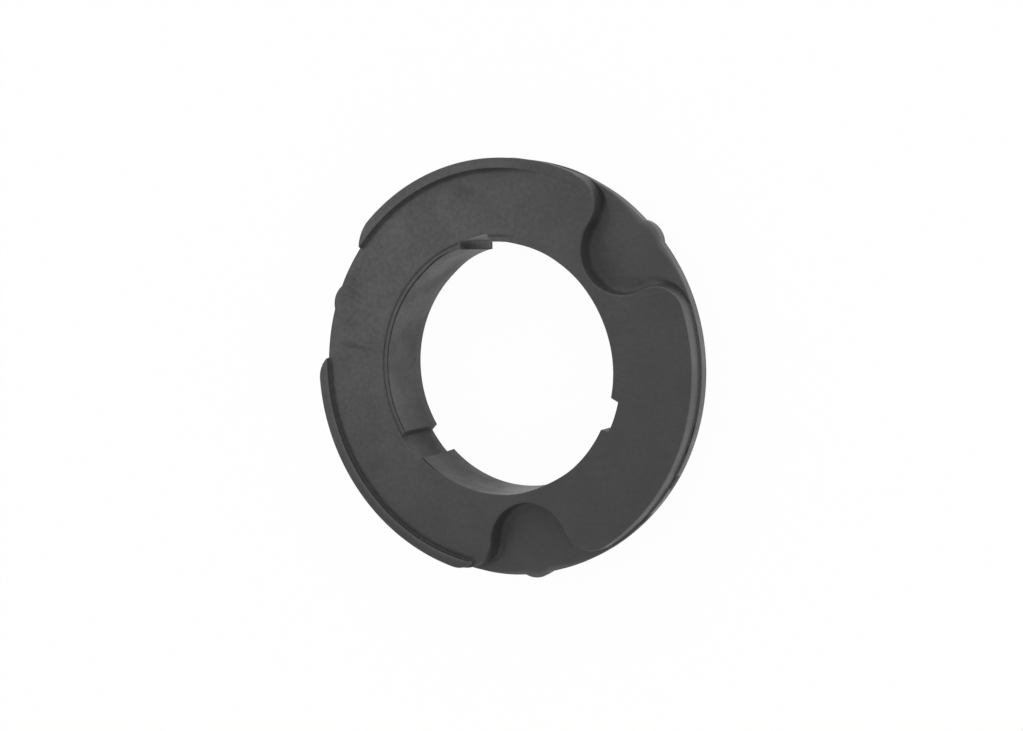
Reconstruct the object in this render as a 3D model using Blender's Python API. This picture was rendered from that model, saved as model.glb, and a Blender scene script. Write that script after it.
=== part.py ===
"""Coil spring insulator: a moulded rubber ring that keeps a coil spring's end off its metal seat.

The ring is one piece of rubber. It lies on the back end of its collar, with its axis along +Z.
The collar goes into the hole of the spring seat and the flange lies on the seat. The spring's end
sits on two raised pads, which pockets part from each other. One pad has rims that centre the coil.
Sizes are in metres. Angles are in degrees, anticlockwise as seen from the pads' side.
"""

from math import acos, atan2, cos, degrees, hypot, radians, sin

import bmesh
import bpy

# Collar and bore
BORE_RADIUS = 0.0423
COLLAR_WALL = 0.0062
COLLAR_EDGE = 0.0008
COLLAR_LENGTH = 0.0117
BORE_CHAMFER = 0.0002
NOTCH_DEPTH = 0.0027
NOTCH_ANGLE = 14.6
NOTCH_CORNER_ANGLE = 1.0
LAND_STEP = 0.00035
LAND_STEP_EDGE = 0.0001

# Flange and lugs
FLANGE_RADIUS = 0.07015
FLANGE_THICKNESS = 0.0042
FLANGE_CHAMFER = 0.0001
LUG_HEIGHT = 0.0014
LUG_RADIUS = 0.0080

# Pads and pockets
PAD_HEIGHT = 0.00635
PAD_DRAFT = 0.0002
PAD_EDGE = 0.00025
PAD_FOOT = 0.0003
PLAIN_PAD_LEDGE = 0.00075
PLAIN_PAD_CORNER = 0.0092
RIMMED_PAD_LEDGE = 0.00275
RIMMED_PAD_CORNER = 0.0055
POCKET_RADIUS = 0.0138
POCKET_WALL = 0.00355

# Rims on the rimmed pad
RIM_HEIGHT = 0.0017
RIM_WIDTH = 0.0034
RIM_LEDGE = 0.00020
RIM_DRAFT = 0.0001
RIM_EDGE = 0.0003
RIM_GAP_ANGLE = 38.0
RIM_GAP_END_RADIUS = 0.0170
RIM_FAR_END_RADIUS = 0.0090
RIM_SETBACK_ANGLE = 2.4

# Nicks in the flange's edge beside the plain pad, each as its middle angle and its angle of arc
NICKS = ((345.0, 4.0), (339.0, 2.2), (329.5, 4.8), (317.0, 4.0))
NICK_DEPTH = 0.0007
NICK_HEIGHT = 0.0022

# Where the pattern stands: each third of the ring has one lug, one land and one notch
REPEATS = 3
FIRST_LUG_ANGLE = 41.5
POCKET_LUGS = (0, 2)
RIM_LUG = 1

# How finely round stretches are cut into facets
RING_FACET_ANGLE = 3.0
CORNER_FACETS = 6
EDGE_FACETS = 2

# How deep joined shapes start inside the flange, and how far cutters reach past the surface
PAD_ROOT = 0.0012
RIM_ROOT = 0.0008
CUT_ROOM = 0.0020

# Sizes that follow from the ones above
PATTERN_ANGLE = 360.0 / REPEATS
NOTCH_RADIUS = BORE_RADIUS + NOTCH_DEPTH
COLLAR_RADIUS = BORE_RADIUS + COLLAR_WALL
FLANGE_TOP = COLLAR_LENGTH + FLANGE_THICKNESS
PAD_TOP = FLANGE_TOP + PAD_HEIGHT
RIM_TOP = PAD_TOP + RIM_HEIGHT
PLAIN_PAD_RADIUS = FLANGE_RADIUS - PLAIN_PAD_LEDGE
RIMMED_PAD_RADIUS = FLANGE_RADIUS - RIMMED_PAD_LEDGE
POCKET_CENTRE = BORE_RADIUS + POCKET_WALL + POCKET_RADIUS
RIM_OUTER = FLANGE_RADIUS - RIM_LEDGE
RIM_INNER = RIM_OUTER - RIM_WIDTH
RIM_ANGLE = FIRST_LUG_ANGLE + RIM_LUG * PATTERN_ANGLE
LAND_STEP_RADIUS = NOTCH_RADIUS - LAND_STEP_EDGE


def polar(radius, angle):
    """The point at this radius and angle."""
    return radius * cos(radians(angle)), radius * sin(radians(angle))


def arc(centre, radius, start, end, steps):
    """Points along an arc about centre, both ends included."""
    points = []
    for step in range(steps + 1):
        x, y = polar(radius, start + (end - start) * step / steps)
        points.append((centre[0] + x, centre[1] + y))
    return points


def ring_arc(radius, start, end, facet_span):
    """Points along an arc about the ring's axis, cut as finely as its nominal span asks."""
    steps = max(1, round(abs(facet_span) / RING_FACET_ANGLE))
    return arc((0.0, 0.0), radius, start, end, steps)


def triangle_angle(first, second, opposite):
    """The angle between two sides of a triangle, from the lengths of all three."""
    return degrees(acos((first**2 + second**2 - opposite**2) / (2 * first * second)))


def round_end(outer, corner, inner, angle, side):
    """The round side of an end: it leaves the outer radius at this angle and meets the inner radius.

    side is 1 where the end faces larger angles and -1 where it faces smaller ones. The second
    value is the angle where the round side meets the inner radius.
    """
    middle = outer - corner
    turn = side * triangle_angle(inner, middle, corner)
    centre = polar(middle, angle)
    meeting = polar(inner, angle + turn)
    last = degrees(atan2(meeting[1] - centre[1], meeting[0] - centre[0]))
    sweep = (last - angle + 180.0) % 360.0 - 180.0
    return arc(centre, corner, angle, angle + sweep, CORNER_FACETS), angle + turn


def without_repeats(points):
    """The closed outline with each meeting point of two stretches kept once."""
    kept = []
    for (x, y), (next_x, next_y) in zip(points, points[1:] + points[:1]):
        if hypot(next_x - x, next_y - y) > 1e-7:
            kept.append((x, y))
    return kept


def circle_outline(radius):
    """An outline function for a plain circle."""

    def outline(inset):
        return ring_arc(radius - inset, 0.0, 360.0, 360.0)[:-1]

    return outline


def bore_outline(inset):
    """The bore with its notches; a negative inset makes it wider."""
    points = []
    land = PATTERN_ANGLE - NOTCH_ANGLE
    half_land = land / 2 - NOTCH_CORNER_ANGLE / 2
    half_notch = NOTCH_ANGLE / 2 - NOTCH_CORNER_ANGLE / 2
    for repeat in range(REPEATS):
        lug = FIRST_LUG_ANGLE + repeat * PATTERN_ANGLE
        notch = lug + PATTERN_ANGLE / 2
        points += ring_arc(BORE_RADIUS - inset, lug - half_land, lug + half_land, land)
        points += ring_arc(NOTCH_RADIUS - inset, notch - half_notch, notch + half_notch, NOTCH_ANGLE)
    return points


def flange_outline(inset):
    """The flange's round edge with its lugs."""
    points = []
    lug_centre = FLANGE_RADIUS + LUG_HEIGHT - LUG_RADIUS
    edge = FLANGE_RADIUS - inset
    reach = triangle_angle(edge, lug_centre, LUG_RADIUS - inset)
    for repeat in range(REPEATS):
        lug = FIRST_LUG_ANGLE + repeat * PATTERN_ANGLE
        start = polar(edge, lug - reach)
        centre = polar(lug_centre, lug)
        half = lug - degrees(atan2(start[1] - centre[1], start[0] - centre[0]))
        half = (half + 180.0) % 360.0 - 180.0
        points += arc(centre, LUG_RADIUS - inset, lug - half, lug + half, CORNER_FACETS)
        points += ring_arc(edge, lug + reach, lug + PATTERN_ANGLE - reach, PATTERN_ANGLE - 2 * reach)
    return without_repeats(points)


def pad_corner(radius, corner):
    """Two angles from a pocket's middle line to the centre of the round corner of the pad beside it.

    The first is seen from the ring's axis and the second from the pocket's centre.
    """
    middle = radius - corner
    reach = POCKET_RADIUS + corner
    return triangle_angle(POCKET_CENTRE, middle, reach), triangle_angle(POCKET_CENTRE, reach, middle)


def pocket_outline(lug, inset, pad_before, pad_after):
    """A pocket's round bite with the round corner of the pad on each side of it.

    Each pad is given as its radius and its corner's radius.
    """
    side_before, turn_before = pad_corner(*pad_before)
    side_after, turn_after = pad_corner(*pad_after)
    before = polar(pad_before[0] - pad_before[1], lug - side_before)
    after = polar(pad_after[0] - pad_after[1], lug + side_after)
    centre = polar(POCKET_CENTRE, lug)
    inner = lug - 180.0
    points = arc(before, pad_before[1] - inset, lug - side_before, lug + turn_before, CORNER_FACETS)
    points += arc(centre, POCKET_RADIUS + inset, inner + turn_before, inner - turn_after, 4 * CORNER_FACETS)
    points += arc(after, pad_after[1] - inset, lug - turn_after, lug + side_after, CORNER_FACETS)
    return points


def pads_outline(inset):
    """Both pads as one outline: their round edges and corners, and the pockets between them."""
    plain = (PLAIN_PAD_RADIUS, PLAIN_PAD_CORNER)
    rimmed = (RIMMED_PAD_RADIUS, RIMMED_PAD_CORNER)
    first, last = (FIRST_LUG_ANGLE + lug * PATTERN_ANGLE for lug in POCKET_LUGS)
    rimmed_start = first + pad_corner(*rimmed)[0]
    rimmed_end = last - pad_corner(*rimmed)[0]
    plain_start = last + pad_corner(*plain)[0]
    plain_end = first + 360.0 - pad_corner(*plain)[0]
    points = pocket_outline(first, inset, plain, rimmed)
    points += ring_arc(rimmed[0] - inset, rimmed_start, rimmed_end, rimmed_end - rimmed_start)
    points += pocket_outline(last, inset, rimmed, plain)
    points += ring_arc(plain[0] - inset, plain_start, plain_end, plain_end - plain_start)
    return without_repeats(points)


def rim_outline(direction):
    """An outline function for the rim on one side of the rimmed pad's middle."""

    def outline(inset):
        pocket = PATTERN_ANGLE - pad_corner(RIMMED_PAD_RADIUS, RIMMED_PAD_CORNER)[0] - RIM_SETBACK_ANGLE
        gap_turn = triangle_angle(RIM_INNER, RIM_OUTER - RIM_GAP_END_RADIUS, RIM_GAP_END_RADIUS)
        far_turn = triangle_angle(RIM_INNER, RIM_OUTER - RIM_FAR_END_RADIUS, RIM_FAR_END_RADIUS)
        gap_end = (direction * (RIM_GAP_ANGLE / 2 + gap_turn), RIM_GAP_END_RADIUS)
        far_end = (direction * (pocket - far_turn), RIM_FAR_END_RADIUS)
        (low, low_radius), (high, high_radius) = sorted((gap_end, far_end))
        low += RIM_ANGLE
        high += RIM_ANGLE
        outer = RIM_OUTER - inset
        inner = RIM_INNER + inset
        high_side, high_tip = round_end(outer, high_radius - inset, inner, high, 1)
        low_side, low_tip = round_end(outer, low_radius - inset, inner, low, -1)
        points = ring_arc(outer, low, high, high - low)
        points += high_side
        points += ring_arc(inner, high_tip, low_tip, high - low)
        points += reversed(low_side)
        return without_repeats(points)

    return outline


def nick_outline(middle, span):
    """An outline function for a nick, from its floor to outside the flange, narrower at the floor."""

    def outline(inset):
        floor = FLANGE_RADIUS - NICK_DEPTH
        outside = FLANGE_RADIUS + CUT_ROOM
        inward = ring_arc(outside, middle - span, middle + span, span)
        return inward + ring_arc(floor, middle + span / 3, middle - span / 3, span)

    return outline


def wall_section(foot, top, foot_round, draft, edge_round):
    """Heights and insets of a wall: a round foot, a drafted side and a round top edge."""
    section = []
    for step in range(EDGE_FACETS + 1):
        turn = radians(90.0 * step / EDGE_FACETS)
        section.append((foot + foot_round * (1 - cos(turn)), -foot_round * (1 - sin(turn))))
    for step in range(EDGE_FACETS + 1):
        turn = radians(90.0 * step / EDGE_FACETS)
        section.append((top - edge_round * (1 - sin(turn)), draft + edge_round * (1 - cos(turn))))
    return section


def solid(name, outline, section):
    """A closed body: its outline, drawn in by each inset, is carried up through the heights."""
    shape = bmesh.new()
    rings = []
    for height, inset in section:
        rings.append([shape.verts.new((x, y, height)) for x, y in outline(inset)])
    shape.faces.new(reversed(rings[0]))
    shape.faces.new(rings[-1])
    for low, high in zip(rings, rings[1:]):
        for corner in range(len(low)):
            shape.faces.new((low[corner - 1], low[corner], high[corner], high[corner - 1]))
    mesh = bpy.data.meshes.new(name)
    shape.to_mesh(mesh)
    shape.free()
    mesh.shade_smooth()
    mesh.set_sharp_from_angle(angle=radians(30.0))
    body = bpy.data.objects.new(name, mesh)
    bpy.context.scene.collection.objects.link(body)
    return body


def rubber():
    """Black moulded rubber, matt."""
    material = bpy.data.materials.new("black_rubber")
    material.use_nodes = True
    shader = material.node_tree.nodes["Principled BSDF"]
    shader.inputs["Base Color"].default_value = (0.045, 0.045, 0.046, 1.0)
    shader.inputs["Roughness"].default_value = 0.62
    shader.inputs["Metallic"].default_value = 0.0
    return material


def combine(body, other, operation):
    """Joins another solid to the body, or cuts it away, and leaves it as a wire guide."""
    modifier = body.modifiers.new(other.name, "BOOLEAN")
    modifier.operation = operation
    modifier.solver = "EXACT"
    modifier.object = other
    other.hide_render = True
    other.display_type = "WIRE"
    other.parent = body


def flange():
    """The flat flange with its lugs; every other shape is joined to it or cut from it."""
    section = [
        (COLLAR_LENGTH, FLANGE_CHAMFER),
        (COLLAR_LENGTH + FLANGE_CHAMFER, 0.0),
        (FLANGE_TOP - FLANGE_CHAMFER, 0.0),
        (FLANGE_TOP, FLANGE_CHAMFER),
    ]
    return solid("spring_insulator", flange_outline, section)


def collar():
    """The plain collar behind the flange, with a round back edge."""
    height = COLLAR_LENGTH + FLANGE_THICKNESS / 2
    edge = COLLAR_EDGE
    section = [(0.0, edge), (edge / 3, edge / 3), (edge, 0.0), (height, 0.0)]
    return solid("collar", circle_outline(COLLAR_RADIUS), section)


def pads():
    """Both pads, up to the face that the spring sits on."""
    section = wall_section(FLANGE_TOP, PAD_TOP, PAD_FOOT, PAD_DRAFT, PAD_EDGE)
    section[0] = (FLANGE_TOP - PAD_ROOT, section[0][1])
    return solid("pads", pads_outline, section)


def rim(name, direction):
    """One rim, from inside the flange up past the pad's face."""
    section = wall_section(FLANGE_TOP, RIM_TOP, 0.0, RIM_DRAFT, RIM_EDGE)[EDGE_FACETS:]
    section[0] = (FLANGE_TOP - RIM_ROOT, 0.0)
    return solid(name, rim_outline(direction), section)


def bore():
    """The cutter for the bore and its notches, flared to chamfer the back edge."""
    section = [
        (-CUT_ROOM, -BORE_CHAMFER - CUT_ROOM),
        (BORE_CHAMFER, 0.0),
        (RIM_TOP + CUT_ROOM, 0.0),
    ]
    return solid("bore", bore_outline, section)


def land_steps():
    """The cutter that leaves the lands' front ends a little below the pads' face."""
    section = [(PAD_TOP - LAND_STEP, 0.0), (RIM_TOP + CUT_ROOM, 0.0)]
    return solid("land_steps", circle_outline(LAND_STEP_RADIUS), section)


def nick(name, middle, span):
    """The cutter for one nick in the flange's edge, open at the flange's top."""
    section = [(FLANGE_TOP - NICK_HEIGHT, 0.0), (FLANGE_TOP + CUT_ROOM, 0.0)]
    return solid(name, nick_outline(middle, span), section)


def build():
    """The whole ring."""
    for old in list(bpy.data.objects):
        bpy.data.objects.remove(old)
    ring = flange()
    for joined in (collar(), pads(), rim("rim_before_gap", -1), rim("rim_after_gap", 1)):
        combine(ring, joined, "UNION")
    for cutter in (bore(), land_steps()):
        combine(ring, cutter, "DIFFERENCE")
    for number, (middle, span) in enumerate(NICKS):
        combine(ring, nick(f"nick_{number + 1}", middle, span / 2), "DIFFERENCE")
    ring.data.materials.append(rubber())


build()
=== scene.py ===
"""Coil spring insulator, lying on its collar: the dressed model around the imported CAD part.

Sizes are in metres. Angles are in degrees, from the right and anticlockwise, seen from the pads' side.
"""

import bpy
import numpy as np
from mathutils import Matrix, Vector


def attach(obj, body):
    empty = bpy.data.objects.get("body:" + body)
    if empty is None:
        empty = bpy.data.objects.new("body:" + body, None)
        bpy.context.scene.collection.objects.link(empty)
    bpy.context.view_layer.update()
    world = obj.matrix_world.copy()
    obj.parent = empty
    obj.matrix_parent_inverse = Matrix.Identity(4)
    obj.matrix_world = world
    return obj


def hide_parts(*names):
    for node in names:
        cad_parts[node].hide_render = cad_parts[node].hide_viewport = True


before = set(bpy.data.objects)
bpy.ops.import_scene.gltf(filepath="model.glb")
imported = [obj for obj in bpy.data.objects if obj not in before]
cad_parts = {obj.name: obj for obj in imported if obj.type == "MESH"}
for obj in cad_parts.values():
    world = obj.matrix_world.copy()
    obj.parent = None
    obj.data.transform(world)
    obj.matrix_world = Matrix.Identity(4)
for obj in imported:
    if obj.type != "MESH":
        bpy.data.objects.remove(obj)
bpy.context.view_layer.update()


# The rubber ring, first its plan
# The real ring is one piece of black rubber, pressed in a two-part mould. Seen from above, its pads'
# walls are arcs that run into one another: outer edges, round corners and the pockets' bites.

PATTERN = 120.0
FIRST_POCKET = 41.5
POCKET_CENTRE = 0.05990
POCKET_RADIUS = 0.0141
# a pad is its radius and its corners' radius
PLAIN_PAD = (0.06940, 0.0100)
RIMMED_PAD = (0.07010, 0.0104)


def along(start, end, share):
    """What lies at a share of the way from start to end: start + (end - start) * share."""
    return start + (end - start) * share


def triangle_angle(first, second, opposite):
    """The angle between two sides of a triangle, in degrees, by the law of cosines."""
    return np.degrees(np.arccos((first**2 + second**2 - opposite**2) / (2 * first * second)))


def around(angle):
    """Unit vectors at these angles: (cos a, sin a) for each a in degrees."""
    turned = np.radians(angle)
    return np.stack([np.cos(turned), np.sin(turned)], axis=-1)


def pad_corner(pad):
    """Where a pad's round corner stands beside a pocket.

    The corner's centre lies at the pad's radius less the corner's, and at the sum of the corner's and the
    pocket's radii from the pocket's centre. The values are its angle from the pocket's middle line, seen
    from the ring's axis and seen from the pocket's centre.
    """
    radius, corner = pad
    middle, reach = radius - corner, POCKET_RADIUS + corner
    return triangle_angle(POCKET_CENTRE, middle, reach), triangle_angle(POCKET_CENTRE, reach, middle)


def pocket_arcs(pocket, before, after):
    """The three arcs round a pocket: a pad's corner, the pocket's bite, and the next pad's corner.

    Each arc is its centre's x and y, its radius, its first and last angle, and 1 where it bulges
    outwards or -1 where it bites inwards.
    """
    side_before, turn_before = pad_corner(before)
    side_after, turn_after = pad_corner(after)
    corner_before = (before[0] - before[1]) * around(pocket - side_before)
    corner_after = (after[0] - after[1]) * around(pocket + side_after)
    bite = POCKET_CENTRE * around(pocket)
    return [
        (*corner_before, before[1], pocket - side_before, pocket + turn_before, 1.0),
        (*bite, POCKET_RADIUS, pocket - 180.0 + turn_before, pocket - 180.0 - turn_after, -1.0),
        (*corner_after, after[1], pocket - turn_after, pocket + side_after, 1.0),
    ]


first_pocket, last_pocket = FIRST_POCKET, FIRST_POCKET + 2 * PATTERN
plain_side, plain_turn = pad_corner(PLAIN_PAD)
rimmed_side, rimmed_turn = pad_corner(RIMMED_PAD)
arcs = np.array(
    pocket_arcs(first_pocket, PLAIN_PAD, RIMMED_PAD)
    + [(0.0, 0.0, RIMMED_PAD[0], first_pocket + rimmed_side, last_pocket - rimmed_side, 1.0)]
    + pocket_arcs(last_pocket, RIMMED_PAD, PLAIN_PAD)
    + [(0.0, 0.0, PLAIN_PAD[0], last_pocket + plain_side, first_pocket + 360.0 - plain_side, 1.0)]
)
first_middle = 1.0 + plain_turn / (plain_turn + rimmed_turn)
last_middle = 5.0 + rimmed_turn / (plain_turn + rimmed_turn)


def outline(place, out):
    """The pads' wall in plan, moved outwards by a distance, as a point for each place.

    A place counts arcs: its whole part picks the arc and the rest is how far along it lies. The point is
    the arc's centre plus (radius + bulge * out) times the unit vector at the arc's angle there, so every
    offset stays parallel to the wall.
    """
    arc = np.minimum(place.astype(int), len(arcs) - 1)
    x, y, radius, start, end, bulge = arcs[arc].T
    angle = along(start, end, place - arc)
    return np.stack([x, y], axis=-1) + (radius + bulge * out)[..., None] * around(angle)


def to_circle(place, centre, radius):
    """How far out the wall must be moved at each place to reach a circle.

    The distance d solves |p + d n - c| = radius for the wall's point p, its outward direction n and the
    circle's centre c: d = sqrt(((p - c).n)^2 - |p - c|^2 + radius^2) - (p - c).n. It is -radius where the
    line through p misses the circle.
    """
    point = outline(place, np.zeros(len(place)))
    way = outline(place, np.ones(len(place))) - point
    off = point - centre
    reach = np.sum(off * way, axis=-1)
    square = reach**2 - np.sum(off * off, axis=-1) + radius**2
    return np.where(square > 0.0, np.sqrt(np.maximum(square, 0.0)) - reach, -radius)


def polar_angle(points):
    """The angle of each point about the ring's axis, from 0 to 360 degrees."""
    return np.degrees(np.arctan2(points[..., 1], points[..., 0])) % 360.0


# The ring's sections go from the bore to the flange's edge. Beside a pocket they fan out, so that none
# runs along the pocket's wall. Their angles at the bore and at the flange's edge run on straight lines
# between the places where the arcs meet.
BORE_FAN = (38.0, 26.0)
EDGE_FAN = (9.0, 8.5)


def fan(plain_reach, plain_near, rimmed_near, rimmed_reach):
    """The sections' angles where the arcs meet.

    There are five round the first pocket, their mirror image round the last, and the first one again
    after a full turn.
    """
    spread = np.array([-plain_reach, -plain_near, 0.0, rimmed_near, rimmed_reach])
    full_turn = [first_pocket + 360.0 - plain_reach]
    return np.concatenate([first_pocket + spread, last_pocket - spread[::-1], full_turn])


section_places = np.array([0.0, 1.0, first_middle, 2.0, 3.0, 4.0, 5.0, last_middle, 6.0, 7.0, 8.0])
bore_angles = fan(BORE_FAN[0], BORE_FAN[1], BORE_FAN[1], BORE_FAN[0])
edge_angles = fan(plain_side, EDGE_FAN[0], EDGE_FAN[1], rimmed_side)


# The ring's rims, bore and flange edge, as distances that change round the ring
# Two low rims centre the coil on the left pad. The bore has three notches, and the flange three small
# lugs and a few nicks where the flash was trimmed. Cooling has left the rubber slightly out of round.

# a swell is its middle's angle, how far it reaches on each side, and how much it adds to the radius
BORE_RADIUS = 0.0423
BORE_SWELLS = (
    (30.0, 34.0, -0.00028),
    (55.0, 12.0, -0.00010),
    (90.0, 12.0, 0.00030),
    (104.0, 8.0, -0.00028),
    (120.0, 14.0, 0.00034),
    (212.0, 14.0, -0.00010),
    (295.0, 18.0, -0.00034),
)

# the notches' ends at the bore's front and at its back, and how far round a corner goes
NOTCH_RADIUS = 0.0450
NOTCHES = ((94.0, 108.8), (213.3, 227.8), (334.7, 348.8))
NOTCH_BACKS = ((94.0, 107.4), (213.0, 227.0), (334.7, 348.8))
NOTCH_CORNER = 1.0

# a lug is its angle and its height, and a nick its angle, its span and how much of it cuts the edge
FLANGE_RADIUS = 0.07020
FLANGE_SWELLS = (
    (268.0, 22.0, 0.00050),
    (259.0, 5.0, 0.00018),
    (88.0, 5.0, 0.00030),
    (62.0, 10.0, -0.00020),
    (42.0, 22.0, -0.00022),
    (314.0, 20.0, -0.00018),
)
LUG_RADIUS = 0.0080
LUG_USUAL_HEIGHT = 0.0017
LUGS = ((41.0, 0.00125), (161.3, 0.0019), (280.2, 0.0016))
NICKS = ((345.0, 4.0, 0.1), (339.4, 2.8, 0.1), (329.8, 4.8, 1.0), (316.8, 4.4, 1.0))
NICK_SLOPE = 0.6

# a rim's tip is its angle, the radius of its rounding, and 1 where the rim starts or -1 where it ends
RIM_OUTER = RIMMED_PAD[0]
RIM_INNER = 0.06665
RIM_TIPS = ((61.5, 0.0085, 1.0), (143.0, 0.0140, -1.0), (178.4, 0.0092, 1.0), (262.6, 0.0080, -1.0))
RIM_TIP_REACH = 40.0
RIM_LEAST_OFFSET = 0.0026
RIMMED_PLACES = (2.2, 4.8)
GAP_SPAN = (120.0, 200.0)
GAP_WALL = 0.06725
GAP_SOFTNESS = 0.0003
OUTLINE_STEP = 0.00062


def between(angle, start, end):
    """Whether each angle lies between start and end, all in degrees."""
    return (angle - start) % 360.0 <= (end - start) % 360.0


def away(angle, middle):
    """Degrees from middle to each angle, from -180 to 180."""
    return (angle - middle + 180.0) % 360.0 - 180.0


def smooth_max(first, second, softness):
    """The greater of two values, with a rounded crossing: (a + b + sqrt((a - b)^2 + k^2)) / 2."""
    return 0.5 * (first + second + np.sqrt((first - second) ** 2 + softness**2))


def swelling(angle, swells):
    """What swells add up to: each is rise * (1 + cos(180 off / reach)) / 2 within its reach."""
    total = np.zeros(angle.shape)
    for middle, reach, rise in swells:
        off = np.clip(np.abs(away(angle, middle)) / reach, 0.0, 1.0)
        total += rise * (1.0 + np.cos(np.pi * off)) / 2
    return total


def rim_lines(place):
    """How far out the rims' inner edge, their outer edge and the pads' wall lie at each place.

    Between its two tips a rim's outer edge is a circle about the axis, and at a tip it is the circle of
    the tip's rounding. In the gap between the rims the pad's wall is set back to a smaller circle, and the
    tips' rounding leads into it.
    """
    axis = np.zeros(2)
    inner = to_circle(place, axis, RIM_INNER)
    outer = to_circle(place, axis, RIM_OUTER)
    angle = polar_angle(outline(place, inner))
    rounded = np.full(len(place), -1.0)
    for tip, rounding, side in RIM_TIPS:
        centre = RIM_OUTER - rounding
        middle = tip + side * triangle_angle(RIM_INNER, centre, rounding)
        reach = to_circle(place, centre * around(middle), rounding)
        past = (side * away(angle, middle) < 0.0) & (np.abs(away(angle, middle)) < RIM_TIP_REACH)
        outer = np.where(past, np.minimum(outer, reach), outer)
        rounded = np.maximum(rounded, np.where(past, reach, -1.0))
    rimmed = (place > RIMMED_PLACES[0]) & (place < RIMMED_PLACES[1])
    first = between(angle, RIM_TIPS[0][0], RIM_TIPS[1][0])
    second = between(angle, RIM_TIPS[2][0], RIM_TIPS[3][0])
    gap = (place > 3.0) & (place < 4.0) & (rounded > -1.0) & between(angle, *GAP_SPAN)
    set_back = smooth_max(to_circle(place, axis, GAP_WALL), rounded, GAP_SOFTNESS)
    wall = np.where(gap, np.minimum(set_back, 0.0), 0.0)
    inner = np.where(rimmed, np.minimum(inner, -RIM_LEAST_OFFSET), -RIM_LEAST_OFFSET)
    outer = np.where(rimmed & (first | second), np.maximum(outer, inner), inner)
    return inner, outer, wall


def notch_share(angle, front):
    """1 in the bore's notches, 0 on its lands, and a straight ramp across a notch's end wall.

    The notches' ends run straight from the bore's back, where front is 0, to its front, where it is 1.
    """
    share = np.zeros(angle.shape)
    for start, end in along(np.array(NOTCH_BACKS), np.array(NOTCHES), front):
        middle, half = (start + end) / 2, (end - start) / 2
        inside = (half - np.abs(away(angle, middle))) / NOTCH_CORNER
        share = np.maximum(share, np.clip(inside + 0.5, 0.0, 1.0))
    return share


def flange_edge(angle):
    """The flange's radius: a circle with its swells, and a lug's circle where that is further out.

    With its centre at c from the axis and its radius l, the lug's circle lies at the polar radius
    c cos(off) + sqrt(l^2 - (c sin(off))^2).
    """
    edge = FLANGE_RADIUS + swelling(angle, FLANGE_SWELLS)
    for middle, height in LUGS:
        centre = FLANGE_RADIUS + height - LUG_RADIUS
        off = np.radians(away(angle, middle))
        root = np.sqrt(np.maximum(LUG_RADIUS**2 - (centre * np.sin(off)) ** 2, 0.0))
        edge = np.maximum(edge, np.where(root > 0.0, centre * np.cos(off) + root, 0.0))
    return edge


def nick_shares(angle):
    """1 in a nick in the flange and 0 beside it, with sloped sides, and how much of that cuts the edge."""
    share = np.zeros(angle.shape)
    deep = np.zeros(angle.shape)
    for middle, span, cut in NICKS:
        side = np.clip((span / 2 - np.abs(away(angle, middle))) / NICK_SLOPE, 0.0, 1.0)
        share = np.maximum(share, side)
        deep = np.maximum(deep, cut * side)
    return share, deep


def place_of(angle, angles):
    """The place whose section has this angle at the bore or at the flange's edge, on its straight lines."""
    turned = (angle - angles[0]) % 360.0 + angles[0]
    return np.interp(turned, angles, section_places)


# Where the sections stand: evenly along the wall, and closer together at notches, lugs, nicks and tips
arc_lengths = arcs[:, 2] * np.radians(np.abs(arcs[:, 4] - arcs[:, 3]))
even = [
    number + np.linspace(0.0, 1.0, max(2, round(length / OUTLINE_STEP)), endpoint=False)
    for number, length in enumerate(arc_lengths)
]
corner_steps = NOTCH_CORNER * np.array([-0.5, -0.42, 0.0, 0.42, 0.5])
notch_ends = np.add.outer(np.ravel([NOTCHES, NOTCH_BACKS]), corner_steps).ravel()
lug_reach = triangle_angle(FLANGE_RADIUS, FLANGE_RADIUS + LUG_USUAL_HEIGHT - LUG_RADIUS, LUG_RADIUS)
lug_steps = np.outer((-lug_reach, lug_reach), (0.9, 0.97, 1.0, 1.03, 1.1))
lug_ends = np.add.outer(np.array(LUGS)[:, 0], lug_steps).ravel()
nick_middles, nick_spans = np.array(NICKS).T[:2]
nick_steps = np.subtract.outer(nick_spans / 2, (-0.1, 0.0, NICK_SLOPE, NICK_SLOPE + 0.1))
nick_ends = np.concatenate([nick_middles[:, None] - nick_steps, nick_middles[:, None] + nick_steps]).ravel()
tip_steps = (-0.12, -0.03, 0.03, 0.08, 0.15, 0.25, 0.4, 0.6, 0.85)
tip_angles = np.array([tip + side * step for tip, rounding, side in RIM_TIPS for step in tip_steps])
rimmed_places = np.linspace(2.4, 4.6, 4000)
rimmed_angles = polar_angle(outline(rimmed_places, to_circle(rimmed_places, np.zeros(2), RIM_INNER)))
tip_places = np.interp(tip_angles, rimmed_angles, rimmed_places)
places = np.concatenate(
    even
    + [place_of(notch_ends, bore_angles), place_of(lug_ends, edge_angles)]
    + [place_of(nick_ends, edge_angles), tip_places]
)
places = np.unique(np.round(places % 8.0, 6))
places = places[np.append(True, np.diff(places) > 2e-5)]


# The ring's surface
# One closed skin, as the mould leaves it: up the bore, over the pads and the rims, down their wall, over
# the flange and round its edge, back along the seat side, and down the collar to the bore again. Each
# row of the skin also carries painted shading: painted shade in its creases, recesses and nicks, and
# painted highlights on its edges and walls.

# levels above the back, and radii
BACK = 0.0
FLANGE_BACK = 0.0117
FLANGE_TOP = 0.0159
PAD_TOP = 0.02225
RIM_TOP = 0.02395
COLLAR_RADIUS = 0.0485

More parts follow.
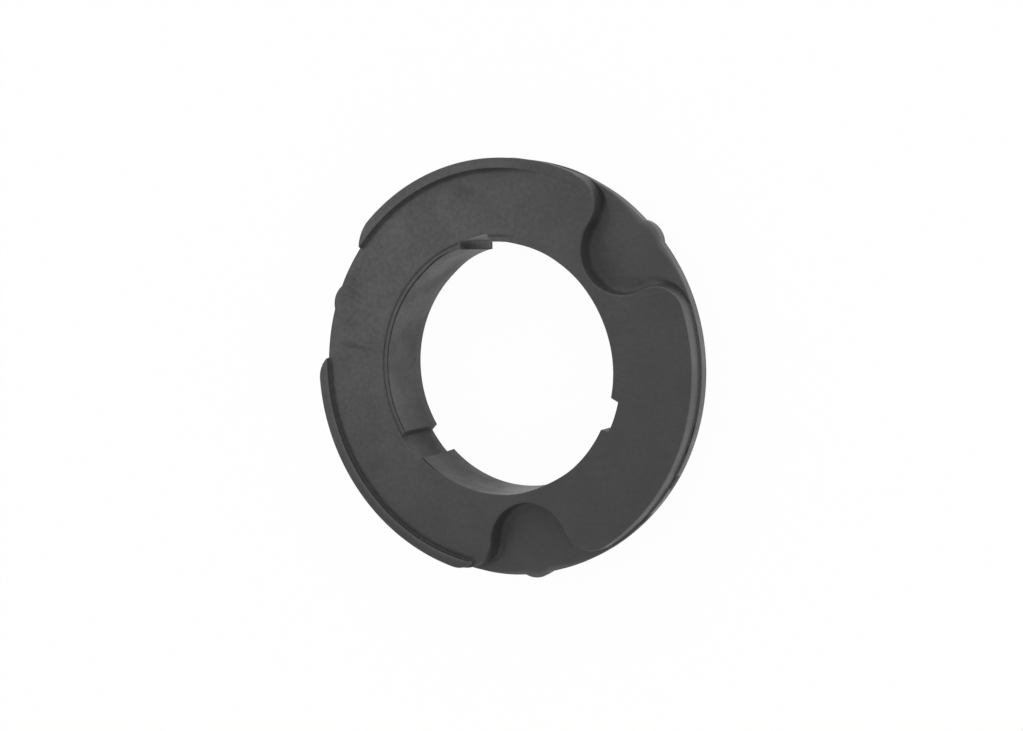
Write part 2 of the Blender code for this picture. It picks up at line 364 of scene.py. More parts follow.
# rounds, fillets and drafts, the least distance from one row of the skin to the next, and the angle
# from which an edge is sharp
COLLAR_EDGE = 0.0008
COLLAR_FILLET = 0.0005
BORE_EDGE = 0.00015
BACK_EDGE = 0.0002
FLANGE_ROUND = 0.00018
PAD_EDGE = 0.00028
PAD_DRAFT = 0.0002
POCKET_EDGE = 0.0006
POCKET_FILLET = 0.0021
FOOT_FILLET = 0.0003
WALL_SOFTNESS = 0.00005
RIM_ROUND_SHARE = 0.45
FLANGE_ROUND_SHARE = 0.4
HAIR = 0.00001
SHARP_FROM = 50.0

# the lands' groove, with its outline as shares of its width and depth, and the lands' step
GROOVE_WIDTH = 0.0007
GROOVE_DEPTH = 0.0005
GROOVE_PROFILE = ((0.04, 0.0), (0.25, 0.6), (0.45, 1.0), (0.65, 0.75), (0.96, 0.0), (1.0, 0.0))
GROOVE_SPAN = (108.0, 246.0)
GROOVE_FADE = 16.0
STEP_HEIGHT = 0.0003
STEP_WIDTH = 0.0006
STEP_SPAN = (78.0, 230.0)
STEP_FADE = 12.0

# the rims, the angles over which the upper one rises from its least height, the shallow cove in front of
# them, and the width from which a pad has the full spacing of its rows
RIM_EDGE = 0.0003
RIM_FILLET = 0.00035
RIM_DRAFT = 0.00005
RIM_TAPER = 0.0005
RIM_FALL = (76.0, 90.0)
RIM_LEAST = 0.03
COVE_WIDTH = 0.0015
COVE_DEPTH = 0.0002
COVE_MARGIN = 0.0002
FULL_PAD = 0.006
NARROWEST_PAD = 0.02

# how deep a nick cuts, and at shares of the way down the flange's edge what is left of that
NICK_DEPTH = 0.0010
NICK_PROFILE = ((0.3, 0.9), (0.6, 0.35), (0.8, 0.0))

# a pair is a place and the share there: of a pocket's rounds, and of the painted shade in and beside
# a pocket
IN_POCKET = (
    ((0.0, 0.0), (1.0, 1.0), (2.0, 1.0), (3.0, 0.0))
    + ((4.0, 0.0), (5.0, 1.0), (6.0, 1.0), (7.0, 0.0))
)
POCKET_DARK = (
    ((0.5, 0.0), (1.1, 0.3), (1.4, 1.0), (2.5, 1.0), (3.0, 0.0))
    + ((4.0, 0.0), (4.6, 1.0), (5.3, 1.0), (5.7, 0.4), (7.0, 0.0))
)
CORNER_DARK = (
    ((0.0, 0.0), (0.1, 1.0), (0.6, 1.0), (0.85, 0.0))
    + ((2.2, 0.0), (2.6, 1.0), (2.9, 1.0), (3.1, 0.0))
)

# painted shading: painted shade, above 0, darkens creases, recesses, notches, nicks and the feet of
# walls, and painted highlights, below 0, pale edges, walls and ledges; in swells they are added to what is
# there
BORE_BACK_DARK = 0.6
BORE_FRONT_DARK = 0.3
BORE_TONES = ((280.0, 32.0, -1.1), (101.0, 12.0, -1.3), (220.5, 12.0, 0.5))
NOTCH_END_DARK = 1.3
NOTCH_END_REACH = 0.9
NOTCH_EDGE_DARK = 0.7
LAND_EDGE_HIGHLIGHT = -0.5
GROOVE_DARK = 0.9
GROOVE_EDGE_HIGHLIGHT = -0.3
LAND_HIGHLIGHT = -0.4
STEP_FOOT_DARK = 1.3
STEP_DARK = 1.4
COVE_DARK = 1.0
RIM_FOOT_DARK = 1.2
RIM_WALL_DARK = 0.9
RIM_EDGE_TONES = (0.7, -0.3)
RIM_OUTER_HIGHLIGHT = -0.4
RIM_TONES = ((222.0, 50.0, 0.6), (95.0, 45.0, -0.3))
WALL_HIGHLIGHT = -0.35
POCKET_WALL_DARK = 1.3
POCKET_FOOT_DARK = (1.6, 0.4)
POCKET_FLOOR_DARK = 0.3
POCKET_FLOOR_LIGHT = -0.12
CORNER_WALL_DARK = 0.6
CORNER_FOOT_DARK = 1.5
CORNER_FLOOR_DARK = 0.2
FOOT_DARK = 0.05
FLANGE_LIGHT = -0.45
FLANGE_EDGE_HIGHLIGHT = -0.6
FLANGE_TONES = ((70.0, 18.0, 2.2), (309.0, 12.0, 2.0))
FLANGE_TONES_ON_WALL = 0.3
NICK_FOOT_DARK = 1.5
NICK_DARK = 3.2


def ease(share):
    """Goes from 0 to 1 with level ends: 3s^2 - 2s^3."""
    share = np.clip(share, 0.0, 1.0)
    return share * share * (3.0 - 2.0 * share)


def faded(angle, span, fade):
    """1 in a span of angles and 0 outside it: ease(way in / fade) from the start times that from the end."""
    return ease((angle - span[0]) / fade) * ease((span[1] - angle) / fade)


def quarter(steps):
    """Sine and cosine of a quarter turn in even steps, for round edges."""
    turn = np.linspace(0.0, np.pi / 2, steps + 1)
    return list(zip(np.sin(turn), np.cos(turn)))


def ring_skin(place):
    """The skin as a grid: one row for each step along the section and one column for each place.

    Every row is either a circle radius(angle) about the axis, the pads' wall moved outwards by a
    distance, or a straight blend between two such rows. The fourth value of a point is its painted shading:
    above 0 where painted shade darkens it and below 0 where a painted highlight pales it.
    """
    count = len(place)
    bore = np.interp(place, section_places, bore_angles)
    edge = np.interp(place, section_places, edge_angles)
    bore_way, edge_way = around(bore), around(edge)
    rim_foot, outer, wall = rim_lines(place)
    rim_width = outer - rim_foot
    fall = (polar_angle(outline(place, rim_foot)) - RIM_FALL[0]) / (RIM_FALL[1] - RIM_FALL[0])
    height = ease(rim_width / RIM_TAPER) * along(RIM_LEAST, 1.0, ease(fall))
    in_pocket = np.interp(place, *zip(*IN_POCKET))
    beside = 1.0 - in_pocket
    pocket = np.interp(place, *zip(*POCKET_DARK))
    corner = np.interp(place, *zip(*CORNER_DARK))
    rows = []

    def add(flat, level, painted_shading=0.0):
        """One more row: points in plan, their height and their painted shading."""
        levels, creases = np.broadcast_to(level, count), np.broadcast_to(painted_shading, count)
        rows.append(np.concatenate([flat, levels[:, None], creases[:, None]], axis=-1))

    def add_round(radius, way, level, painted_shading=0.0):
        """One more row, at a radius from the axis in each section's direction."""
        add(np.broadcast_to(radius, count)[:, None] * way, level, painted_shading)

    # up the bore, over its edge, across the thin groove behind it, across the land and up its step. Painted
    # shade darkens the bore's back, the first notch's end, the notches' front edge, the groove and the
    # step's foot, painted highlights pale the land and its edges, and the bore's wall is painted paler near
    # 280 and 101 degrees and darker near 220
    notch = notch_share(bore, 1.0)
    land = 1.0 - notch
    swell = swelling(bore, BORE_SWELLS)
    stepped = land * faded(bore, STEP_SPAN, STEP_FADE)
    groove = land * faded(bore, GROOVE_SPAN, GROOVE_FADE)
    bore_radius = along(BORE_RADIUS, NOTCH_RADIUS, notch) + swell
    land_top = PAD_TOP - STEP_HEIGHT * stepped
    end_dark = NOTCH_END_DARK * np.exp(-((away(bore, NOTCHES[0][1]) / NOTCH_END_REACH) ** 2))
    for share in (0.0, 0.2, 0.45, 0.7, 0.9, 0.97):
        radius = along(BORE_RADIUS, NOTCH_RADIUS, notch_share(bore, share)) + swell
        painted_shading = along(BORE_BACK_DARK, BORE_FRONT_DARK, share) + end_dark + swelling(bore, BORE_TONES)
        add_round(radius, bore_way, along(BACK_EDGE, land_top - BORE_EDGE, share), painted_shading)
    for sine, cosine in quarter(3):
        level = land_top - BORE_EDGE * (1.0 - sine)
        painted_shading = along(LAND_EDGE_HIGHLIGHT, NOTCH_EDGE_DARK, notch) * sine
        add_round(bore_radius + BORE_EDGE * (1.0 - cosine), bore_way, level, painted_shading)
    groove_width = GROOVE_WIDTH * land + 4 * HAIR
    for share, depth in GROOVE_PROFILE:
        radius = bore_radius + BORE_EDGE + groove_width * share
        painted_shading = along(GROOVE_EDGE_HIGHLIGHT, GROOVE_DARK, depth) * groove
        add_round(radius, bore_way, land_top - GROOVE_DEPTH * depth * groove, painted_shading)
    land_start = bore_radius + BORE_EDGE + groove_width
    land_end = np.maximum(NOTCH_RADIUS - STEP_WIDTH, land_start + 2 * HAIR)
    for share in (0.06, 0.5, 0.94, 1.0):
        painted_shading = along(LAND_HIGHLIGHT, STEP_FOOT_DARK, share) * stepped
        add_round(along(land_start, land_end, share), bore_way, land_top, painted_shading)
    for share in (0.25, 0.5, 0.75, 1.0):
        level = along(land_top, PAD_TOP, ease(share))
        add_round(land_end + STEP_WIDTH * share, bore_way, level, STEP_DARK * (1.0 - share) * stepped)
    pad_start = (land_end + STEP_WIDTH)[:, None] * bore_way

    # across the pad, and down the shallow cove in front of the rims, with painted shade in the cove
    pad_edge = along(PAD_EDGE, POCKET_EDGE, in_pocket)
    inset = PAD_DRAFT + pad_edge
    wall_radius = np.linalg.norm(outline(place, -inset), axis=-1)
    room = np.clip((wall_radius - NOTCH_RADIUS - STEP_WIDTH) / FULL_PAD, NARROWEST_PAD, 1.0)

    def inward(distance):
        """The wall moved inwards by a distance, which shrinks where the pad is narrow beside a pocket."""
        return -inset - (distance - inset) * room

    cove = COVE_DEPTH * height * ease(rim_width / (RIM_OUTER - RIM_INNER))
    pad_end = outline(place, inward(-rim_foot + RIM_FILLET + COVE_WIDTH + COVE_MARGIN))
    for share in (0.02, 0.08, 0.2, 0.35, 0.5, 0.65, 0.8, 0.92, 1.0):
        add(along(pad_start, pad_end, share), PAD_TOP)
    for share in (0.0, 0.33, 0.67, 1.0):
        distance = -rim_foot + RIM_FILLET + COVE_WIDTH * (1.0 - share)
        level = PAD_TOP - cove * ease(share)
        add(outline(place, inward(distance)), level, COVE_DARK * height * ease(share))

    # up the rim's inner wall, over its top, and down its outer wall as far as the pad's face. Painted shade
    # darkens the rim's foot and inner wall, painted highlights pale its edges, and its top is painted darker
    # on the lower left and paler at the top
    rim_top = along(PAD_TOP, RIM_TOP, height)
    rim_round = np.minimum(RIM_EDGE, RIM_ROUND_SHARE * np.minimum(rim_width, rim_top - PAD_TOP))
    fillet = RIM_FILLET * height
    low = PAD_TOP - cove
    spread = HAIR * (1.0 - height)
    steps = []
    for sine, cosine in quarter(3)[1:]:
        distance = rim_foot - RIM_FILLET * (1.0 - sine)
        steps.append((distance, low + fillet * (1.0 - cosine), RIM_FOOT_DARK * height))
    for share in (0.5, 1.0):
        level = along(low + fillet, rim_top - rim_round, share)
        painted_shading = along(RIM_FOOT_DARK, RIM_WALL_DARK, share) * height
        steps.append((rim_foot + RIM_DRAFT * share * height, level, painted_shading))
    for sine, cosine in quarter(3)[1:]:
        distance = rim_foot + RIM_DRAFT * height + rim_round * (1.0 - cosine)
        steps.append((distance, rim_top - rim_round * (1.0 - sine), along(*RIM_EDGE_TONES, sine) * height))
    steps.append((0.5 * (rim_foot + outer), rim_top, swelling(bore, RIM_TONES) * height))
    for sine, cosine in quarter(3):
        distance = outer - rim_round * (1.0 - sine)
        steps.append((distance, rim_top - rim_round * (1.0 - cosine), RIM_OUTER_HIGHLIGHT * height * sine))
    steps.append((outer, along(PAD_TOP, rim_top - rim_round, 0.5), 0.0))
    steps.append((outer, PAD_TOP, 0.0))
    for number, (distance, level, painted_shading) in enumerate(steps):
        moved = distance + spread * number
        moved = np.where(moved < -inset, inward(-moved), moved)
        add(outline(place, moved), level, painted_shading)

    # over the pad's edge and down the wall, which stands further out where a rim is. Painted shade darkens
    # the wall and its foot in the pockets, at their corners, in the nicks and at the foot everywhere, and a
    # painted highlight pales the wall beside the pockets
    rim_wall = np.where(height > 0.0, outer, -1.0)

    def carried(distance):
        """A distance for the wall, or the rim's outer edge where that is further out."""
        return smooth_max(distance, rim_wall, WALL_SOFTNESS)

    add(outline(place, carried(wall - inset - 4 * HAIR * room)), PAD_TOP)
    for sine, cosine in quarter(3):
        level = PAD_TOP - pad_edge * (1.0 - cosine)
        painted_shading = pocket * sine + WALL_HIGHLIGHT * beside
        add(outline(place, carried(wall - inset + pad_edge * sine)), level, painted_shading)
    foot = carried(wall)
    edge_radius = flange_edge(edge)
    ledge = edge_radius - np.linalg.norm(outline(place, foot), axis=-1)
    flange_round = np.clip(FLANGE_ROUND_SHARE * ledge, 3 * HAIR, FLANGE_ROUND)
    foot_room = 0.5 * np.maximum(ledge - flange_round, 5 * HAIR)
    foot_round = np.minimum(along(FOOT_FILLET, POCKET_FILLET, in_pocket), foot_room)
    nick, deep = nick_shares(edge)
    flange_tone = swelling(edge, FLANGE_TONES)
    for share in (0.3, 0.6, 0.85, 1.0):
        level = along(PAD_TOP - pad_edge, FLANGE_TOP + foot_round, share)
        painted_tone = WALL_HIGHLIGHT * (1.0 - share**3) + FLANGE_TONES_ON_WALL * flange_tone
        painted_shading = POCKET_WALL_DARK * pocket + painted_tone * beside + CORNER_WALL_DARK * corner * share
        add(outline(place, carried(wall - PAD_DRAFT * (1.0 - share))), level, painted_shading)
    for sine, cosine in quarter(4)[1:]:
        painted_shading = FOOT_DARK + along(*POCKET_FOOT_DARK, sine**6) * pocket
        painted_shading = painted_shading + NICK_FOOT_DARK * (1.0 - cosine) * nick + CORNER_FOOT_DARK * corner
        distance = foot + foot_round * (1.0 - cosine)
        add(outline(place, distance), FLANGE_TOP + foot_round * (1.0 - sine), painted_shading)

    # across the flange's top, down its edge and back along the seat side to the collar. Painted shade
    # darkens the flange near the pockets' feet, in the nicks and on its edge near 70 and 309 degrees, and
    # painted light pales its top beside the pockets, the pockets' floors and its edge
    foot_end = outline(place, foot + foot_round)
    cut_radius = edge_radius - NICK_DEPTH * deep
    edge_start = (cut_radius - flange_round)[:, None] * edge_way
    for share in (0.06, 0.3, 0.6, 0.9):
        near_foot = (POCKET_FLOOR_DARK * pocket + CORNER_FLOOR_DARK * corner) * (1.0 - share) ** 16
        painted_tone = FLANGE_LIGHT * beside + POCKET_FLOOR_LIGHT * in_pocket * ease(share / 0.3)
        add(along(foot_end, edge_start, share), FLANGE_TOP, near_foot + NICK_DARK * nick + painted_tone)
    edge_tone = flange_tone + FLANGE_EDGE_HIGHLIGHT
    for sine, cosine in quarter(2):
        level = FLANGE_TOP - flange_round * (1.0 - cosine)
        add_round(cut_radius - flange_round * (1.0 - sine), edge_way, level, NICK_DARK * deep + edge_tone)
    for share, cut in NICK_PROFILE:
        level = FLANGE_TOP - flange_round + (FLANGE_BACK - FLANGE_TOP + 2 * flange_round) * share
        painted_shading = NICK_DARK * cut * deep + edge_tone
        add_round(edge_radius - NICK_DEPTH * deep * cut, edge_way, level, painted_shading)
    for sine, cosine in quarter(2):
        level = FLANGE_BACK + flange_round * (1.0 - sine)
        add_round(edge_radius - flange_round * (1.0 - cosine), edge_way, level)
    for share in (0.05, 0.35, 0.65, 0.95):
        radius = along(edge_radius - flange_round, COLLAR_RADIUS + COLLAR_FILLET, share)
        add_round(radius, around(along(edge, bore, share)), FLANGE_BACK)

    # down the collar, round its back edge, and across its back to the bore, with painted shade in the
    # collar's fillet
    for sine, cosine in quarter(3):
        level = FLANGE_BACK - COLLAR_FILLET * (1.0 - cosine)
        add_round(COLLAR_RADIUS + COLLAR_FILLET * (1.0 - sine), bore_way, level, sine)
    add_round(COLLAR_RADIUS, bore_way, 0.5 * FLANGE_BACK)
    for sine, cosine in quarter(4):
        add_round(COLLAR_RADIUS - COLLAR_EDGE * (1.0 - cosine), bore_way, COLLAR_EDGE * (1.0 - sine))
    back_inner = along(BORE_RADIUS, NOTCH_RADIUS, notch_share(bore, 0.0)) + swell + BACK_EDGE
    for share in (0.06, 0.5, 0.94, 1.0):
        add_round(along(COLLAR_RADIUS - COLLAR_EDGE, back_inner, share), bore_way, BACK)
    return np.stack(rows)


def closed_surface(name, grid):
    """A mesh from a grid of points that closes on itself both ways.

    Its faces have the corners (s, t), (s + 1, t), (s + 1, t + 1) and (s, t + 1).
    """
    across, round_the_ring = grid.shape[:2]
    corner = np.arange(across * round_the_ring).reshape(across, round_the_ring)
    next_row = np.roll(corner, -1, axis=0)
    sides = [corner, next_row, np.roll(next_row, -1, axis=1), np.roll(corner, -1, axis=1)]
    faces = np.stack(sides, axis=-1)
    mesh = bpy.data.meshes.new(name)
    mesh.vertices.add(corner.size)
    mesh.vertices.foreach_set("co", grid[..., :3].astype(np.float32).ravel())
    mesh.loops.add(faces.size)
    mesh.loops.foreach_set("vertex_index", faces.astype(np.int32).ravel())
    mesh.polygons.add(corner.size)
    mesh.polygons.foreach_set("loop_start", np.arange(0, faces.size, 4, dtype=np.int32))
    painted_shading = mesh.attributes.new("painted_shading", "FLOAT", "POINT")
    painted_shading.data.foreach_set("value", grid[..., 3].astype(np.float32).ravel())
    mesh.update(calc_edges=True)
    mesh.validate()
    return mesh


ring_mesh = closed_surface("rubber_ring", ring_skin(places))
ring_mesh.shade_smooth()
ring_mesh.set_sharp_from_angle(angle=np.radians(SHARP_FROM))
ring = bpy.data.objects.new("rubber_ring", ring_mesh)
bpy.context.scene.collection.objects.link(ring)


# The ring's rubber
# Black filled rubber as it leaves the mould: matt, with a fine grain and cloudy patches. A painted pool of
# light pales the side that the gap is on, painted shade darkens creases and painted highlights pale edges
# a little.

# the rubber's dark and pale greys, the grey of its painted shade and that of its painted highlights
RUBBER_DARK = 0.0355
RUBBER_PALE = 0.0480
PAINTED_SHADE_GREY = 0.0020
PAINTED_HIGHLIGHT_GREY = 0.0950

# the painted shading at which painted shade is darkest, the one at which a painted highlight is fullest
# and how pale it is then, and the roughness between the clouds and in them, and what painted shade adds
FULLEST_PAINTED_SHADE = 2.2
FULLEST_PAINTED_HIGHLIGHT = -0.6
MOST_PAINTED_HIGHLIGHT = 0.75
RUBBER_ROUGHNESS = (0.60, 0.46)
PAINTED_SHADE_ROUGHNESS = 0.3

# the painted pool of light is a round spot
LIGHT_POOL_MIDDLE = (-0.044, 0.036, 0.020)
LIGHT_POOL_REACH = 0.115
LIGHT_POOL_STRENGTH = 2.3

# noise: its scale, its detail and the range that is used, and its strength away from the painted pool of
# light and what the pool's middle adds
CLOUD_SCALE, CLOUD_DETAIL, CLOUD_RANGE = 75.0, 4.0, (0.3, 0.7)
CLOUD_STRENGTH = (0.15, 0.5)
MOTTLE_SCALE, MOTTLE_DETAIL, MOTTLE_RANGE = 620.0, 5.0, (0.28, 0.72)
MOTTLE_STRENGTH = (0.35, 1.3)
GRAIN_SCALE, GRAIN_DETAIL = 2200.0, 3.0

# dark marks on the left pad: the middle, the turn, half the length and width, and how dark
MARKS = (
    ((-0.0555, 0.0060), -8.0, (0.0085, 0.0011), 2.5),
    ((-0.0559, 0.0298), 20.0, (0.0014, 0.0011), 2.5),
    ((-0.0565, 0.0250), 75.0, (0.0090, 0.0060), 1.5),
    ((-0.0590, 0.0150), -20.0, (0.0060, 0.0022), 1.3),
    ((-0.0130, 0.0590), 5.0, (0.0050, 0.0030), 1.3),
    ((-0.0480, -0.0360), 40.0, (0.0080, 0.0045), 0.9),
)
MARK_LEVEL = 0.0222
MARK_HEIGHT = 0.004
MARK_WAVER = 0.0022

# bumps: their strength and their depth
UNEVEN_STRENGTH, UNEVEN_DEPTH = 0.5, 0.00012
GRAIN_STRENGTH, GRAIN_DEPTH = 0.7, 0.00005


def add_node(tree, kind, **settings):
    """A shader node in the tree, with its settings."""
    node = tree.nodes.new(kind)
    for name, value in settings.items():
        setattr(node, name, value)
    return node


def feed(tree, socket, value):
    """Links another node's socket to an input, or gives the input a number."""
    if isinstance(value, bpy.types.NodeSocket):
        tree.links.new(value, socket)
    else:
        socket.default_value = value


def add_math(tree, operation, *values):
    """A sum, product or other operation on two or three values, each a socket or a number."""
    node = add_node(tree, "ShaderNodeMath", operation=operation)
    for socket, value in zip(node.inputs, values):
        feed(tree, socket, value)
    return node.outputs[0]


def add_mix(tree, share, first, second):
    """Goes from the first value to the second as the share goes from 0 to 1."""
    node = add_node(tree, "ShaderNodeMix")
    feed(tree, node.inputs["Factor"], share)
    feed(tree, node.inputs["A"], first)
    feed(tree, node.inputs["B"], second)
    return node.outputs["Result"]


def add_noise(tree, point, scale, detail):
    """Even noise through the rubber, from 0 to 1."""
    node = add_node(tree, "ShaderNodeTexNoise")
    node.inputs["Scale"].default_value = scale
    node.inputs["Detail"].default_value = detail
    tree.links.new(point, node.inputs["Vector"])
    return node.outputs["Fac"]


def add_spread(tree, value, given, wanted):
    """Stretches a value from the given range onto the wanted one, with level ends."""
    node = add_node(tree, "ShaderNodeMapRange", interpolation_type="SMOOTHSTEP")
    for socket, number in zip(node.inputs[1:5], (*given, *wanted)):
        socket.default_value = number
    tree.links.new(value, node.inputs["Value"])
    return node.outputs["Result"]


def add_spot(tree, point, middle, turn, reach):
    """A soft oval spot: 1 less the distance from its middle, counted in its own length and width."""
    oval = add_node(tree, "ShaderNodeMapping", vector_type="TEXTURE")
    oval.inputs["Location"].default_value = middle
    oval.inputs["Rotation"].default_value = (0.0, 0.0, np.radians(turn))
    oval.inputs["Scale"].default_value = reach
    spot = add_node(tree, "ShaderNodeTexGradient", gradient_type="SPHERICAL")
    tree.links.new(point, oval.inputs["Vector"])
    tree.links.new(oval.outputs["Vector"], spot.inputs["Vector"])
    return spot.outputs["Fac"]


def add_bump(tree, height, strength, depth):
    """A bump node over a height from 0 to 1."""
    node = add_node(tree, "ShaderNodeBump")
    node.inputs["Strength"].default_value = strength
    node.inputs["Distance"].default_value = depth
    tree.links.new(height, node.inputs["Height"])
    return node


rubber = bpy.data.materials.new("moulded_rubber")
rubber.use_nodes = True
tree = rubber.node_tree
shader = tree.nodes["Principled BSDF"]
point = add_node(tree, "ShaderNodeTexCoord").outputs["Object"]
painted_shading = add_node(tree, "ShaderNodeAttribute", attribute_name="painted_shading").outputs["Fac"]
clouds = add_spread(tree, add_noise(tree, point, CLOUD_SCALE, CLOUD_DETAIL), CLOUD_RANGE, (0.0, 1.0))
mottle = add_spread(tree, add_noise(tree, point, MOTTLE_SCALE, MOTTLE_DETAIL), MOTTLE_RANGE, (-0.5, 0.5))
grain = add_noise(tree, point, GRAIN_SCALE, GRAIN_DETAIL)
light_pool_spot = add_spot(tree, point, LIGHT_POOL_MIDDLE, 0.0, (LIGHT_POOL_REACH, LIGHT_POOL_REACH, LIGHT_POOL_REACH))
mottled_light_pool = add_spread(tree, light_pool_spot, (0.0, 1.0), (0.0, 1.0))

# tone: clouds and mottling, both stronger in the painted pool of light, and the pool's own painted light
cloud_strength = add_math(tree, "MULTIPLY_ADD", mottled_light_pool, CLOUD_STRENGTH[1], CLOUD_STRENGTH[0])
mottle_strength = add_math(tree, "MULTIPLY_ADD", mottled_light_pool, MOTTLE_STRENGTH[1], MOTTLE_STRENGTH[0])
tone = add_math(tree, "MULTIPLY", clouds, cloud_strength)
tone = add_math(tree, "MULTIPLY_ADD", mottle, mottle_strength, tone)
tone = add_math(tree, "MULTIPLY_ADD", mottled_light_pool, LIGHT_POOL_STRENGTH, tone)

# the marks' outlines waver, so they are set half a waver further on
waver = add_node(tree, "ShaderNodeTexNoise")
waver.inputs["Scale"].default_value = MOTTLE_SCALE
tree.links.new(point, waver.inputs["Vector"])
wavered = add_node(tree, "ShaderNodeVectorMath", operation="MULTIPLY_ADD")
wavered.inputs[1].default_value = (MARK_WAVER, MARK_WAVER, MARK_WAVER)
tree.links.new(waver.outputs["Color"], wavered.inputs[0])
tree.links.new(point, wavered.inputs[2])
half = MARK_WAVER / 2
for (x, y), turn, (length, width), depth in MARKS:
    middle = (x + half, y + half, MARK_LEVEL + half)
    spot = add_spot(tree, wavered.outputs["Vector"], middle, turn, (length, width, MARK_HEIGHT))
    tone = add_math(tree, "MULTIPLY_ADD", spot, -depth, tone)

# the tone's grey, darkened by painted shade and paled by painted highlights
rubber_grey = add_math(tree, "MULTIPLY_ADD", tone, RUBBER_PALE - RUBBER_DARK, RUBBER_DARK)
painted_shade_share = add_spread(tree, painted_shading, (0.0, FULLEST_PAINTED_SHADE), (0.0, 1.0))
painted_light_share = add_spread(tree, painted_shading, (0.0, FULLEST_PAINTED_HIGHLIGHT), (0.0, MOST_PAINTED_HIGHLIGHT))
rubber_grey = add_mix(tree, painted_shade_share, rubber_grey, PAINTED_SHADE_GREY)
rubber_grey = add_mix(tree, painted_light_share, rubber_grey, PAINTED_HIGHLIGHT_GREY)
colour = add_node(tree, "ShaderNodeCombineColor")
for socket in colour.inputs:
    tree.links.new(rubber_grey, socket)
tree.links.new(colour.outputs["Color"], shader.inputs["Base Color"])
rough = add_spread(tree, clouds, (0.0, 1.0), RUBBER_ROUGHNESS)
rough = add_math(tree, "MULTIPLY_ADD", painted_shade_share, PAINTED_SHADE_ROUGHNESS, rough)
tree.links.new(rough, shader.inputs["Roughness"])

# the mould's fine grain over a slightly uneven skin
uneven = add_bump(tree, mottle, UNEVEN_STRENGTH, UNEVEN_DEPTH)
grained = add_bump(tree, grain, GRAIN_STRENGTH, GRAIN_DEPTH)
tree.links.new(uneven.outputs["Normal"], grained.inputs["Normal"])
tree.links.new(grained.outputs["Normal"], shader.inputs["Normal"])

ring_mesh.materials.append(rubber)
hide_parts("spring_insulator")
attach(ring, "root")


# The floor
# A plain white sheet. The camera sees it almost white, with only a faint shadow of the ring.

FLOOR_SIZE = 40.0
FLOOR_COLOUR = (0.9, 0.9, 0.9, 1.0)
FLOOR_ROUGHNESS = 0.9
FLOOR_WHITE_SHARE = 0.97
WHITE = (1.0, 1.0, 1.0, 1.0)

bpy.ops.mesh.primitive_plane_add(size=FLOOR_SIZE)
floor = bpy.context.object
floor.name = "floor"
paper = bpy.data.materials.new("white_paper")
paper.use_nodes = True
paper_tree = paper.node_tree
paper_shader = paper_tree.nodes["Principled BSDF"]
paper_shader.inputs["Base Color"].default_value = FLOOR_COLOUR
paper_shader.inputs["Roughness"].default_value = FLOOR_ROUGHNESS
glow = add_node(paper_tree, "ShaderNodeEmission")
glow.inputs["Color"].default_value = WHITE
rays = add_node(paper_tree, "ShaderNodeLightPath").outputs
seen = add_math(paper_tree, "MAXIMUM", rays["Is Camera Ray"], rays["Is Glossy Ray"])
seen = add_math(paper_tree, "MAXIMUM", seen, rays["Is Transmission Ray"])
whiten = add_node(paper_tree, "ShaderNodeMixShader")
paper_tree.links.new(add_math(paper_tree, "MULTIPLY", seen, FLOOR_WHITE_SHARE), whiten.inputs["Fac"])
paper_tree.links.new(paper_shader.outputs["BSDF"], whiten.inputs[1])
paper_tree.links.new(glow.outputs["Emission"], whiten.inputs[2])
paper_tree.links.new(whiten.outputs["Shader"], paper_tree.nodes["Material Output"].inputs["Surface"])
floor.data.materials.append(paper)


# The light
# A soft white dome, a little brighter high up on the left, and near the floor on the right, behind the
# ring and in front of it. The camera itself sees the dome as plain white.

# a lobe is its direction, how narrow it is, and how much it adds
DOME = 0.56
DOME_LOBES = (
    ((-0.62, 0.35, 0.70), 5.0, 0.65),
    ((0.97, 0.15, 0.05), 7.0, 2.70),
    ((0.10, 0.98, 0.08), 7.0, 3.00),
    ((0.10, -0.98, 0.08), 7.0, 1.20),
)

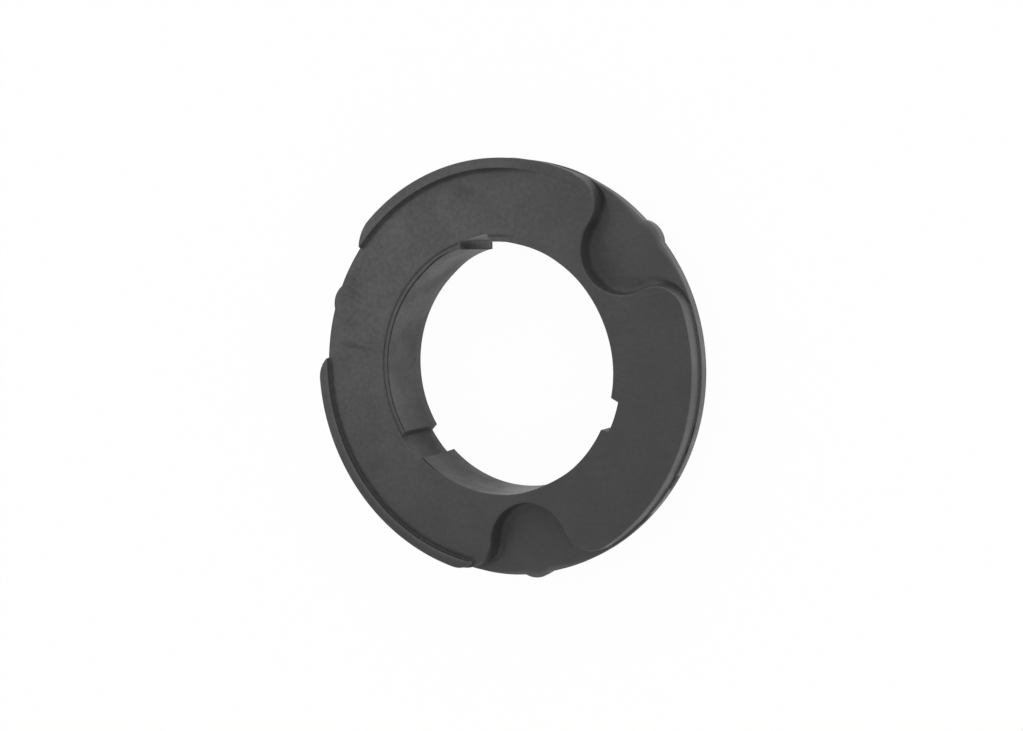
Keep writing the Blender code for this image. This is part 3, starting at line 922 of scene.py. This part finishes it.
world = bpy.data.worlds.new("white_dome")
bpy.context.scene.world = world
world.use_nodes = True
sky = world.node_tree
way = add_node(sky, "ShaderNodeTexCoord").outputs["Generated"]
brightness = DOME
for direction, sharpness, rise in DOME_LOBES:
    facing = add_node(sky, "ShaderNodeVectorMath", operation="DOT_PRODUCT")
    facing.inputs[1].default_value = direction
    sky.links.new(way, facing.inputs[0])
    lobe = add_math(sky, "POWER", add_math(sky, "MAXIMUM", facing.outputs["Value"], 0.0), sharpness)
    brightness = add_math(sky, "MULTIPLY_ADD", lobe, rise, brightness)
looked_at = add_node(sky, "ShaderNodeLightPath").outputs["Is Camera Ray"]
unseen = add_math(sky, "SUBTRACT", 1.0, looked_at)
brightness = add_math(sky, "MAXIMUM", add_math(sky, "MULTIPLY", brightness, unseen), looked_at)
sky.nodes["Background"].inputs["Color"].default_value = WHITE
sky.links.new(brightness, sky.nodes["Background"].inputs["Strength"])


# The camera
# It looks down on the ring's face from its right, at the photograph's angle and distance.

PHOTO_WIDTH = 1023.0
FOCAL_PIXELS = 1488.0
FRAME_SHIFT_PIXELS = (-1.5, 1.1)
SENSOR_WIDTH = 36.0
CLIP_START = 0.01
VIEW_RIGHT = Vector((0.89144, 0.0, -0.45313))
VIEW_UP = Vector((-0.03504, 0.99701, -0.06893))
VIEW_BACK = Vector((0.45178, 0.07733, 0.88878))
AIM_HEIGHT = 0.00994
CAMERA_DISTANCE = 0.50835

lens = bpy.data.cameras.new("camera")
lens.sensor_width = SENSOR_WIDTH
lens.lens = SENSOR_WIDTH * FOCAL_PIXELS / PHOTO_WIDTH
lens.clip_start = CLIP_START
lens.shift_x = FRAME_SHIFT_PIXELS[0] / PHOTO_WIDTH
lens.shift_y = FRAME_SHIFT_PIXELS[1] / PHOTO_WIDTH
turned = Matrix((VIEW_RIGHT, VIEW_UP, VIEW_BACK)).transposed().to_4x4()
turned.translation = Vector((0.0, 0.0, AIM_HEIGHT)) + CAMERA_DISTANCE * VIEW_BACK
camera = bpy.data.objects.new("camera", lens)
camera.matrix_world = turned
bpy.context.scene.collection.objects.link(camera)
bpy.context.scene.camera = camera
bpy.context.scene.view_settings.view_transform = "Standard"
